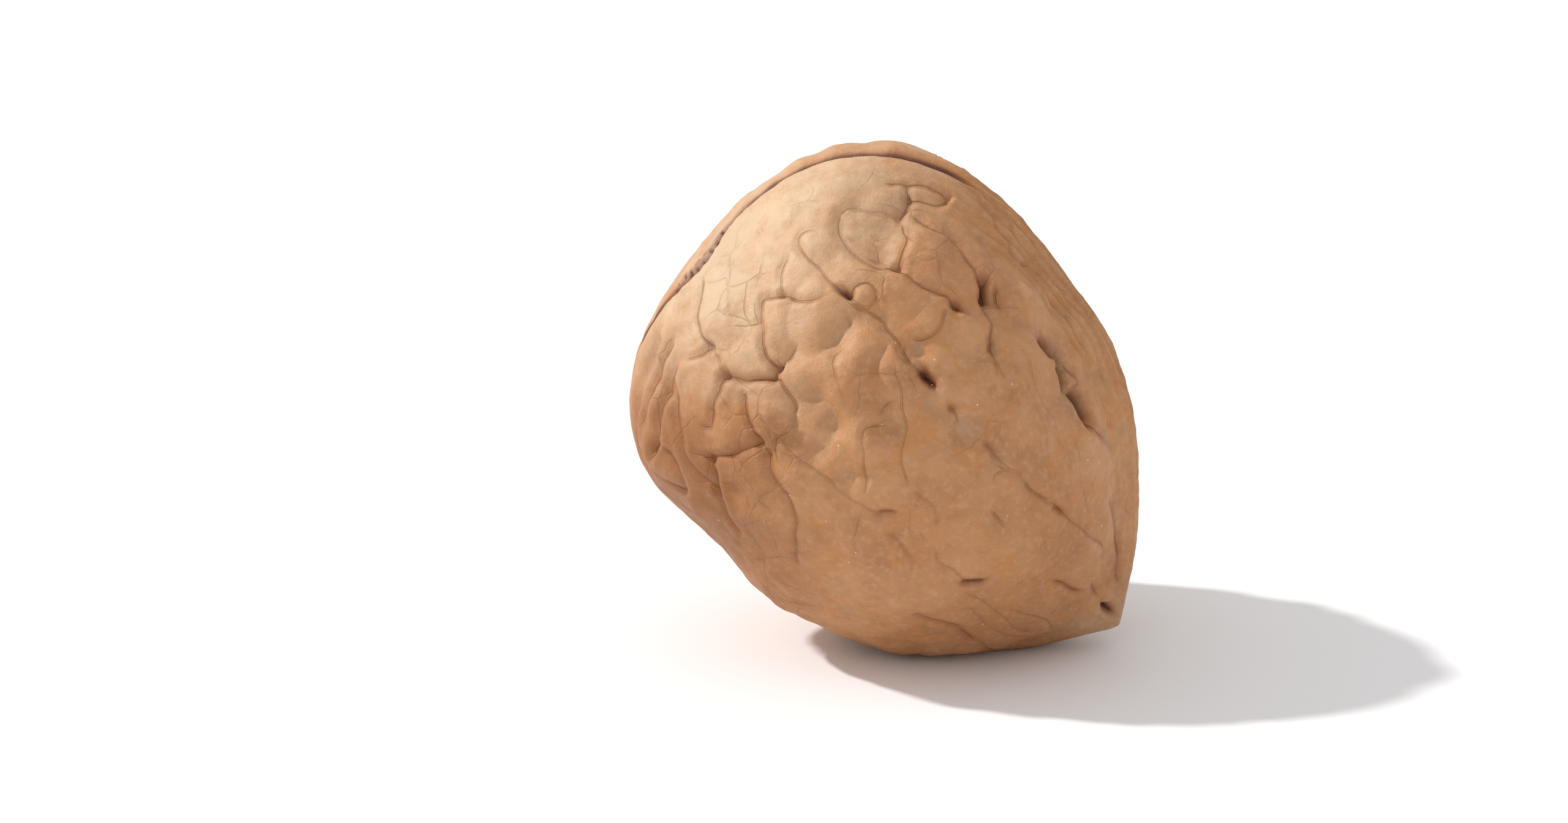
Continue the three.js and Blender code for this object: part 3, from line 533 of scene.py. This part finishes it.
def plate_net(directions, radius):
    """Seeded net of fine cracks: each direction belongs to its nearest plate centre, and the crack lies
    where the nearest two centres are equally far. Returns half the difference of those two distances
    in mm, which is the distance to the crack close beside it. It is worked out a block at a time, to
    spare the memory."""
    block = 8192
    centres = dice.normal(size=(PLATES, 3))
    centres /= np.linalg.norm(centres, axis=1)[:, None]
    drawn = swayed(directions, 5.0, 0.02)
    gap = np.empty(len(directions))
    for start in range(0, len(directions), block):
        part = drawn[start:start + block]
        spans = np.sqrt(np.maximum(2 - 2 * part @ centres.T, 0))
        nearest = np.partition(spans, 1, axis=1)[:, :2]
        gap[start:start + block] = (nearest[:, 1] - nearest[:, 0]) / 2
    return gap * radius


def shell_half(side):
    """Points of one half, in mm in the nut's own axes, with the numbers that its colours follow. The
    rings of the disc run from the seam to the cheek's centre, closest together at the seam. Each point
    lies along its direction at the smooth nut's radius plus the height of the relief there."""
    ring, bearing = square_folded_to_disc(GRID)
    around_seam = np.degrees(bearing) % 360
    reach = 90 + side * smooth_curve(SEAM_ANGLES, SEAM_WANDER, around_seam)
    inwards = 1 - ring / (GRID / 2)
    from_seam = reach * inwards * (1 - 0.65 * np.exp(-inwards / 0.06))
    tilt = np.radians(reach - from_seam)
    directions = np.stack(
        [np.sin(tilt) * np.cos(bearing), side * np.cos(tilt), np.sin(tilt) * np.sin(bearing)], axis=1
    )
    radius = smooth_radius(directions)
    seam_mm = np.radians(from_seam) * radius
    from_tip = np.degrees(np.arccos(np.clip(directions[:, 0], -1, 1)))

    # swellings and furrows, which fade out at the seam, and the plainer skin beside the open seam, which
    # has fewer lumps and no fine cracks
    if side < 0:
        relief = cheek_relief(directions, radius, side, FRONT_SWELLS, FRONT_FURROWS, FRONT_STEPS)
    else:
        relief = cheek_relief(directions, radius, side, BACK_SWELLS, BACK_FURROWS, [])
    height, swelling, looks = relief
    crack_depth = smooth_curve(SEAM_ANGLES, CRACK_DEPTH, around_seam)
    is_open = ramp(crack_depth, 0.15, 0.6)
    cheek_share = ramp(from_seam, 2, 7)
    plain_skin = 1 - 0.7 * is_open * bell(seam_mm, PLAIN_SPREAD)
    height *= cheek_share

    # lumps all over: soft ones, rounded cobbles with creases between them where the plates are small,
    # and wrinkles that run to the tip
    from_plated = np.linalg.norm(directions - place_direction(PLATED_PLACE, side), axis=1) * NUT_RADIUS
    cobbled = bell(from_plated, PLATED_SPREAD)
    cobbles = np.minimum(abs(ripples(directions, 6.5)), 1) - 0.45
    lumps = 0.10 * ripples(directions, 8) + 0.09 * ripples(directions, 3.2) * plain_skin
    lumps += (0.12 + 0.55 * cobbled) * cobbles * plain_skin
    around_tip = np.arctan2(directions[:, 2], directions[:, 1])
    wrinkles = np.sin(WRINKLES * around_tip + 2.5 * ripples(directions, 7))
    wrinkles *= ramp(ripples(directions, 6), -0.2, 0.8)
    wrinkles *= ramp(directions[:, 0], 0.45, 0.75) * (1 - ramp(directions[:, 0], 0.93, 0.99))
    height += cheek_share * (lumps + WRINKLE_HEIGHT * wrinkles)
    height += 0.03 * ripples(directions, 1.9) + 0.014 * ripples(directions, 1.0, count=60)

    # the net of fine cracks, on the base's side of the nut and in patches, fainter on the front
    rough_side = ramp(-directions[:, 0], -0.6, 0.4)
    net = plate_net(directions, radius)
    net_share = rough_side * cheek_share * plain_skin * (0.35 if side < 0 else 1.0)
    net_share *= ramp(ripples(directions, 9), -0.4, 0.3)
    height -= NET_DEPTH * net_share * bell(net, NET_SPREAD)

    # the shut seam: a band with cords along it, rope-like at the crack's end, and a trough on each side
    shut_band = smooth_curve(SEAM_ANGLES, BAND_HEIGHT, around_seam)
    band = shut_band * bell(seam_mm, BAND_SPREAD)
    upper_band = bell(around_seam - UPPER_CORD_ANGLE, UPPER_CORD_SPREAD_DEGREES)
    cord_height = CORD_HEIGHT + UPPER_CORD_HEIGHT * upper_band
    cord_waves = 2 * math.pi * seam_mm / CORD_SPACING + 1.8 * ripples(directions, 9)
    cords = cord_height * np.cos(cord_waves) * ramp(shut_band, 0.05, 0.4)
    cords *= 1 - ramp(seam_mm, 2.6, 4.6)
    trough = 0.5 * shut_band * bell(seam_mm - TROUGH_PLACE, TROUGH_SPREAD)

    # the open seam: a narrow crack, most of it in the back half, whose edge rises above the front
    # half's as a rounded lip, with spongy tissue full of pores in it over the base
    half_width = smooth_curve(SEAM_ANGLES, CRACK_HALF_WIDTH, around_seam)
    scar_round_seam = is_open * bell(around_seam - SCAR_ANGLE, SCAR_SPREAD_DEGREES)
    if side > 0:
        rim_bumps = 1 + 0.25 * ripples(directions, 2.4)
        lip = smooth_curve(SEAM_ANGLES, LIP_STEP, around_seam) * rim_bumps
        lip *= ramp(seam_mm, 0.25, 1.2) * (1 - ramp(seam_mm, 2.0, 5.0))
        crack = crack_depth * bell(seam_mm, half_width)
        scar = scar_round_seam * bell(seam_mm - 0.5, 0.6)
        dark_reach = 0.8
    else:
        lip = smooth_curve(SEAM_ANGLES, EDGE_RISE, around_seam) * bell(seam_mm, EDGE_SPREAD)
        crack = crack_depth * bell(seam_mm, 0.4 * half_width) * (1 - 0.4 * is_open)
        scar = scar_round_seam * bell(seam_mm, 0.3)
        dark_reach = 0.1
    pores = ripples(directions, PORE_SIZE, count=60)
    height += band + cords - trough - crack + lip + PORE_DEPTH * scar * pores

    # where each colour lies
    # painted shade: the open crack is painted near black, up to 0.8 mm beside it on the back half, and the
    # pores of the spongy tissue are painted darker where they dip. Both join the dirt of the furrows.
    crack_painted_shade = is_open * (1 - scar) * (1 - ramp(seam_mm, 0.6 * dark_reach, dark_reach))
    pore_painted_shade = ramp(scar, 0.1, 0.4) * ramp(-pores, 0.1, 0.4)
    furrow_dark = looks["grime_and_shade"] * ramp(from_seam, 0.5, 2)
    net_dark = 0.25 * net_share * bell(net, 0.24)
    looks["grime_and_shade"] = np.maximum.reduce([furrow_dark, net_dark, crack_painted_shade, pore_painted_shade])
    looks["fibre"] = scar
    looks["lip_wall"] = is_open * bell(seam_mm - 0.35, 0.45) if side > 0 else np.zeros(len(ring))
    # pale dust by the open seam, with painted sheen where the lamp lights the base end, and a paler tip
    beside_seam = bell(seam_mm, 14) if side < 0 else 0.7 * bell(seam_mm - 2, 10)
    seam_dust_and_sheen = bell(around_seam - DUST_AND_SHEEN_ANGLE, DUST_AND_SHEEN_SPREAD_DEGREES) * beside_seam
    pale_tip = 0.5 * bell(from_tip, PALE_TIP_SPREAD_DEGREES)
    looks["dust_and_sheen"] = np.maximum(seam_dust_and_sheen, pale_tip)
    looks["rise"] = 0.5 + 0.5 * np.clip((swelling * cheek_share + 1.3 * lumps) / 0.4, -1, 1)
    looks["net_share"] = cheek_share * plain_skin * ramp(rough_side, 0, 0.5)
    # painted shade with a warm bounce light, low on the front cheek under the base
    from_shade_under_base = np.linalg.norm(directions - place_direction(SHADE_UNDER_BASE_PLACE, side), axis=1) * NUT_RADIUS
    looks["shade_under_base"] = bell(from_shade_under_base, SHADE_UNDER_BASE_SPREAD)
    points = directions * (radius + height)[:, None]
    return points, ring, looks


def half_faces(cells, side):
    """Two triangles per cell, cut along the diagonal that follows the fold, facing outwards."""
    half = cells // 2
    column, row = np.meshgrid(np.arange(cells), np.arange(cells), indexing="ij")
    a = column * (cells + 1) + row
    b, c, d = a + cells + 1, a + cells + 2, a + 1
    folds_up = ((column - half + 0.5) * (row - half + 0.5) > 0)[..., None]
    first = np.where(folds_up, np.stack([a, b, c], -1), np.stack([a, b, d], -1))
    second = np.where(folds_up, np.stack([a, c, d], -1), np.stack([b, c, d], -1))
    faces = np.concatenate([first.reshape(-1, 3), second.reshape(-1, 3)])
    return faces if side < 0 else faces[:, ::-1]


def walnut_mesh():
    """Both halves joined at the rim, laid down as the nut lies, worn flat underneath, and fitted to
    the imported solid's box, which the finer lumps would pass by a few tenths of a millimetre."""
    front, ring, front_looks = shell_half(-1)
    back, _, back_looks = shell_half(1)
    on_rim = ring == GRID // 2
    back_index = np.cumsum(~on_rim) - 1 + len(front)
    back_index[on_rim] = np.flatnonzero(on_rim)
    points = np.concatenate([front, back[~on_rim]])
    looks = {name: np.concatenate([front_looks[name], back_looks[name][~on_rim]]) for name in front_looks}
    faces = np.concatenate([half_faces(GRID, -1), back_index[half_faces(GRID, 1)]])

    fall = np.array([
        [math.cos(TIP_FALL), 0, math.sin(TIP_FALL)],
        [0, 1, 0],
        [-math.sin(TIP_FALL), 0, math.cos(TIP_FALL)],
    ])
    turn = np.array([
        [math.cos(TIP_TURN), -math.sin(TIP_TURN), 0],
        [math.sin(TIP_TURN), math.cos(TIP_TURN), 0],
        [0, 0, 1],
    ])
    points = points @ (turn @ fall).T
    points[:, 2] = np.maximum(points[:, 2], points[:, 2].min() + FLAT_DEPTH)
    low, high = points.min(axis=0), points.max(axis=0)
    target_low, target_high = (np.array(corner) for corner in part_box("walnut_shell"))
    points = target_low + (points - low) * (target_high - target_low) / (high - low)
    return points, faces, looks


def solid_object(name, points, faces, looks):
    """A smooth-shaded mesh object at the origin, with one number per point for each look."""
    mesh = bpy.data.meshes.new(name)
    mesh.vertices.add(len(points))
    mesh.vertices.foreach_set("co", points.astype(np.float32).ravel())
    mesh.loops.add(faces.size)
    mesh.loops.foreach_set("vertex_index", faces.astype(np.int32).ravel())
    mesh.polygons.add(len(faces))
    mesh.polygons.foreach_set("loop_start", np.arange(0, faces.size, 3, dtype=np.int32))
    mesh.update(calc_edges=True)
    mesh.polygons.foreach_set("use_smooth", np.ones(len(faces), bool))
    for look, values in looks.items():
        attribute = mesh.attributes.new(look, "FLOAT", "POINT")
        attribute.data.foreach_set("value", values.astype(np.float32))
    mesh.validate()
    piece = bpy.data.objects.new(name, mesh)
    bpy.context.scene.collection.objects.link(piece)
    return piece


shell = solid_object("nutshell", *walnut_mesh())


def colour(hex_code):
    """Linear colour of an sRGB hex value."""
    channels = [int(hex_code[i:i + 2], 16) / 255 for i in (1, 3, 5)]
    return tuple(c / 12.92 if c <= 0.04045 else ((c + 0.055) / 1.055) ** 2.4 for c in channels) + (1,)


def add(tree, kind, inputs, **settings):
    """Adds a node with its settings. Each input takes a plain value, or a link from another's output."""
    node = tree.nodes.new(kind)
    for name, value in settings.items():
        setattr(node, name, value)
    for name, value in inputs.items():
        if isinstance(value, bpy.types.NodeSocket):
            tree.links.new(value, node.inputs[name])
        else:
            node.inputs[name].default_value = value
    return node


# The material is bare walnut shell, a dense woody tissue that was washed and dried, not oiled or
# polished. It is matt, with no shine even on the tops of the lumps. The wood is tan, and dark in the
# furrows, where dirt and dried husk stay. Some washes are painted light: shade with a warm bounce
# under the base, sheen mixed into the pale dust on the lit left, and shade in the open crack and the
# pores. A comment below says what each wash of colour stands for.

# Fields of noise: name, size of a patch in mm, detail, roughness. The grain is really finer, and is
# drawn as coarse as it needs to show.
NOISES = [
    ("clouds", 7.0, 3, 0.55),
    ("patches", 3.2, 4, 0.55),
    ("freckles", 1.3, 5, 0.65),
    ("streaks", 2.2, 6, 0.70),
    ("flecks", 0.45, 4, 0.60),
    ("pebble", 0.55, 4, 0.60),
    ("grain", 0.17, 3, 0.70),
]

# Washes of colour over the bare wood, in this order: two fields multiplied, the product at which the
# wash begins and is full, its share when full, and its colour.
WASHES = [
    ("clouds", "one", 0.38, 0.62, 0.8, "#a66f45"),         # darker tan clouds
    ("patches", "one", 0.52, 0.66, 0.35, "#b97e49"),       # orange where the skin is thin
    ("flank", "patches", 0.28, 0.52, 0.55, "#b77a43"),     # orange on the flanks of the lumps
    ("hollow", "freckles", 0.18, 0.50, 0.35, "#9b7350"),   # darker, greyer brown low in the hollows
    ("freckles", "one", 0.52, 0.70, 0.35, "#95623c"),      # brown freckles
    ("flecks", "one", 0.50, 0.72, 0.45, "#c49a72"),        # pale grain
    ("shade_under_base", "clouds", 0.06, 0.50, 0.8, "#8f5829"),       # painted shade with a warm bounce light, under the base
    ("dust_and_sheen", "streaks", 0.12, 0.48, 0.68, "#d4ba98"),     # pale dust with painted sheen by the open seam, paler on the tip
    ("silt", "streaks", 0.42, 0.66, 0.35, "#ac957c"),      # grey dust in the wider furrows
    ("net", "one", 0.00, 1.00, 0.25, "#8f603c"),           # the net of finer cracks
    ("hairline", "patches", 0.10, 0.60, 0.30, "#8f603f"),  # hairlines, which come and go
    ("hairline", "grime_and_shade", 0.40, 0.90, 0.60, "#55311f"),    # and are darker in dirty furrows
    ("lip_wall", "one", 0.10, 0.80, 0.50, "#a5683a"),      # raw edge of the shell in the crack
    ("fibre", "one", 0.20, 0.70, 0.70, "#8a6a58"),         # spongy tissue at the base
    ("grime_and_shade", "one", 0.10, 0.60, 0.60, "#8a4f2a"),         # brown dirt in the furrows, and painted shade in the open crack and the pores
    ("grime_and_shade", "one", 0.55, 1.00, 0.90, "#45220f"),         # near black in the pits, and painted shade in the open crack and the pores
    ("specks", "one", 0.00, 1.00, 0.70, "#e6d2b8"),        # pale specks of dry skin
]

BARE_WOOD = "#ba865a"
WOOD_IOR = 1.45

# Heights of the finest relief in millimetres, which the light shows as roughness and as cracks.
FINE_RELIEF = [("pebble", 0.06), ("grain", 0.04), ("net", -0.04), ("hairline", -0.08), ("line_step", 0.06)]

surface = bpy.data.materials.new("walnut_shell_washed_dry")
surface.use_nodes = True
tree = surface.node_tree
tree.nodes.clear()
place = add(tree, "ShaderNodeTexCoord", {}).outputs["Object"]
field = {"one": 1.0}
for attribute in shell.data.attributes:
    if attribute.data_type == "FLOAT":
        name = attribute.name
        field[name] = add(tree, "ShaderNodeAttribute", {}, attribute_name=name).outputs["Fac"]
for name, size_mm, detail, roughness in NOISES:
    settings = {"Vector": place, "Scale": 1 / (size_mm * MM), "Detail": detail, "Roughness": roughness}
    field[name] = add(tree, "ShaderNodeTexNoise", settings).outputs["Fac"]

# the rise is 0 in the lowest hollows and 1 on the highest tops: hollows reach up to 0.45, and flanks
# are strongest from 0.38 to 0.45
for name, low, high in (("hollow", 0.45, 0.15), ("flank_up", 0.15, 0.38), ("flank_down", 0.62, 0.45)):
    step = add(tree, "ShaderNodeMapRange", {"Value": field["rise"], "From Min": low, "From Max": high})
    field[name] = step.outputs[0]
flank = add(tree, "ShaderNodeMath", {0: field["flank_up"], 1: field["flank_down"]}, operation="MULTIPLY")
field["flank"] = flank.outputs[0]

# hairline cracks about 0.15 mm wide along the furrows, with one bank a little higher than the other
field["hairline"] = 0.0
field["line_step"] = 0.0
for group in range(LINE_GROUPS):
    offset, share = field[f"line_side_{group}"], field[f"line_share_{group}"]
    off_line = add(tree, "ShaderNodeMath", {0: offset}, operation="ABSOLUTE").outputs[0]
    falls = {"Value": off_line, "From Min": 0.02, "From Max": 0.12, "To Min": 1, "To Max": 0}
    steps = {"Value": offset, "From Min": -0.15, "From Max": 0.15, "To Min": -0.5, "To Max": 0.5}
    for name, profile, joining in (("hairline", falls, "MAXIMUM"), ("line_step", steps, "ADD")):
        curve = add(tree, "ShaderNodeMapRange", profile, interpolation_type="SMOOTHSTEP").outputs[0]
        shown = add(tree, "ShaderNodeMath", {0: curve, 1: share}, operation="MULTIPLY").outputs[0]
        field[name] = add(tree, "ShaderNodeMath", {0: field[name], 1: shown}, operation=joining).outputs[0]

# a net of finer cracks, plates about 3 mm across, which comes and goes
FINE_PLATE = 3.0 * MM
FINE_SWAY = 1.6 * MM

sway = add(tree, "ShaderNodeTexNoise", {"Vector": place, "Scale": 1 / (2.5 * MM), "Detail": 2})
swayed_place = add(
    tree, "ShaderNodeVectorMath",
    {0: sway.outputs["Color"], 1: (FINE_SWAY, FINE_SWAY, FINE_SWAY), 2: place}, operation="MULTIPLY_ADD",
)
plates = add(
    tree, "ShaderNodeTexVoronoi", {"Vector": swayed_place.outputs[0], "Scale": 1 / FINE_PLATE},
    feature="DISTANCE_TO_EDGE",
)
edges = {"Value": plates.outputs["Distance"], "From Min": 0.006, "From Max": 0.03, "To Min": 1, "To Max": 0}
shows = {"Value": field["clouds"], "From Min": 0.46, "From Max": 0.58}
field["net"] = field["net_share"]
for profile in (edges, shows):
    curve = add(tree, "ShaderNodeMapRange", profile).outputs[0]
    field["net"] = add(tree, "ShaderNodeMath", {0: field["net"], 1: curve}, operation="MULTIPLY").outputs[0]

# pale specks about 0.1 mm across, thinly scattered: each cell of 2 mm holds one, and only the few that
# lie in the surface show
SPECK_CELL = 2.0 * MM

dots = add(tree, "ShaderNodeTexVoronoi", {"Vector": place, "Scale": 1 / SPECK_CELL}).outputs["Distance"]
near_dot = {"Value": dots, "From Min": 0.02, "From Max": 0.04, "To Min": 1, "To Max": 0}
field["specks"] = add(tree, "ShaderNodeMapRange", near_dot).outputs[0]

# the washes, one over the other
tone = colour(BARE_WOOD)
for first, second, begins, full, most, hex_code in WASHES:
    both = add(tree, "ShaderNodeMath", {0: field[first], 1: field[second]}, operation="MULTIPLY").outputs[0]
    shares = {"Value": both, "From Min": begins, "From Max": full, "To Max": most}
    share = add(tree, "ShaderNodeMapRange", shares).outputs[0]
    tone = add(tree, "ShaderNodeMix", {0: share, 6: tone, 7: colour(hex_code)}, data_type="RGBA").outputs[2]

# the fine relief, in mm, and a roughness that is a little lower where the freckles are thin
height = 0.0
for name, rise in FINE_RELIEF:
    height = add(
        tree, "ShaderNodeMath", {0: field[name], 1: rise, 2: height}, operation="MULTIPLY_ADD"
    ).outputs[0]
bump = add(tree, "ShaderNodeBump", {"Height": height, "Strength": 1.0, "Distance": MM}).outputs[0]

dull = {"Value": field["freckles"], "From Min": 0.3, "From Max": 0.7, "To Min": 0.48, "To Max": 0.68}
roughness = add(tree, "ShaderNodeMapRange", dull).outputs[0]
wood = add(
    tree, "ShaderNodeBsdfPrincipled",
    {"Base Color": tone, "Roughness": roughness, "Normal": bump, "IOR": WOOD_IOR},
)
add(tree, "ShaderNodeOutputMaterial", {"Surface": wood.outputs[0]})

shell.data.materials.append(surface)
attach(shell, "root")
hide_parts("walnut_shell")


# ---- Table and light ----------------------------------------------------------------------------
# A pale matt table that fills the picture, a bright tent of even light, and one soft lamp high on the
# left that throws the shadow to the right. The table is matt paper, with no gloss to mirror the nut.

TABLE_HALF = 1.5  # metres
PAPER_WHITE = "#eeeceb"
PAPER_ROUGHNESS = 0.9
TENT_LIGHT = (0.97, 0.985, 1, 1)
TENT_STRENGTH = 0.8
LAMP_RISE = math.radians(45)
LAMP_BEARING = math.radians(171)
LAMP_STRENGTH = 2.7
LAMP_WIDTH = math.radians(3)

corners = [(x * TABLE_HALF, y * TABLE_HALF, 0) for x, y in ((-1, -1), (1, -1), (1, 1), (-1, 1))]
table = bpy.data.objects.new("table", bpy.data.meshes.new("table"))
table.data.from_pydata(corners, [], [(0, 1, 2, 3)])
bpy.context.scene.collection.objects.link(table)
paper = bpy.data.materials.new("pale_matt_paper")
paper.use_nodes = True
paper_shader = paper.node_tree.nodes["Principled BSDF"]
paper_shader.inputs["Base Color"].default_value = colour(PAPER_WHITE)
paper_shader.inputs["Roughness"].default_value = PAPER_ROUGHNESS
table.data.materials.append(paper)

tent = bpy.data.worlds.new("tent")
tent.use_nodes = True
tent.node_tree.nodes["Background"].inputs["Color"].default_value = TENT_LIGHT
tent.node_tree.nodes["Background"].inputs["Strength"].default_value = TENT_STRENGTH
bpy.context.scene.world = tent

lamp_from = Vector((
    math.cos(LAMP_RISE) * math.cos(LAMP_BEARING),
    math.cos(LAMP_RISE) * math.sin(LAMP_BEARING),
    math.sin(LAMP_RISE),
))
lamp = bpy.data.objects.new("lamp", bpy.data.lights.new("lamp", "SUN"))
lamp.data.energy = LAMP_STRENGTH
lamp.data.angle = LAMP_WIDTH
lamp.rotation_euler = lamp_from.to_track_quat("Z", "Y").to_euler()
bpy.context.scene.collection.objects.link(lamp)

# the colours are shown as they are, with no film curve over them
bpy.context.scene.view_settings.view_transform = "Standard"
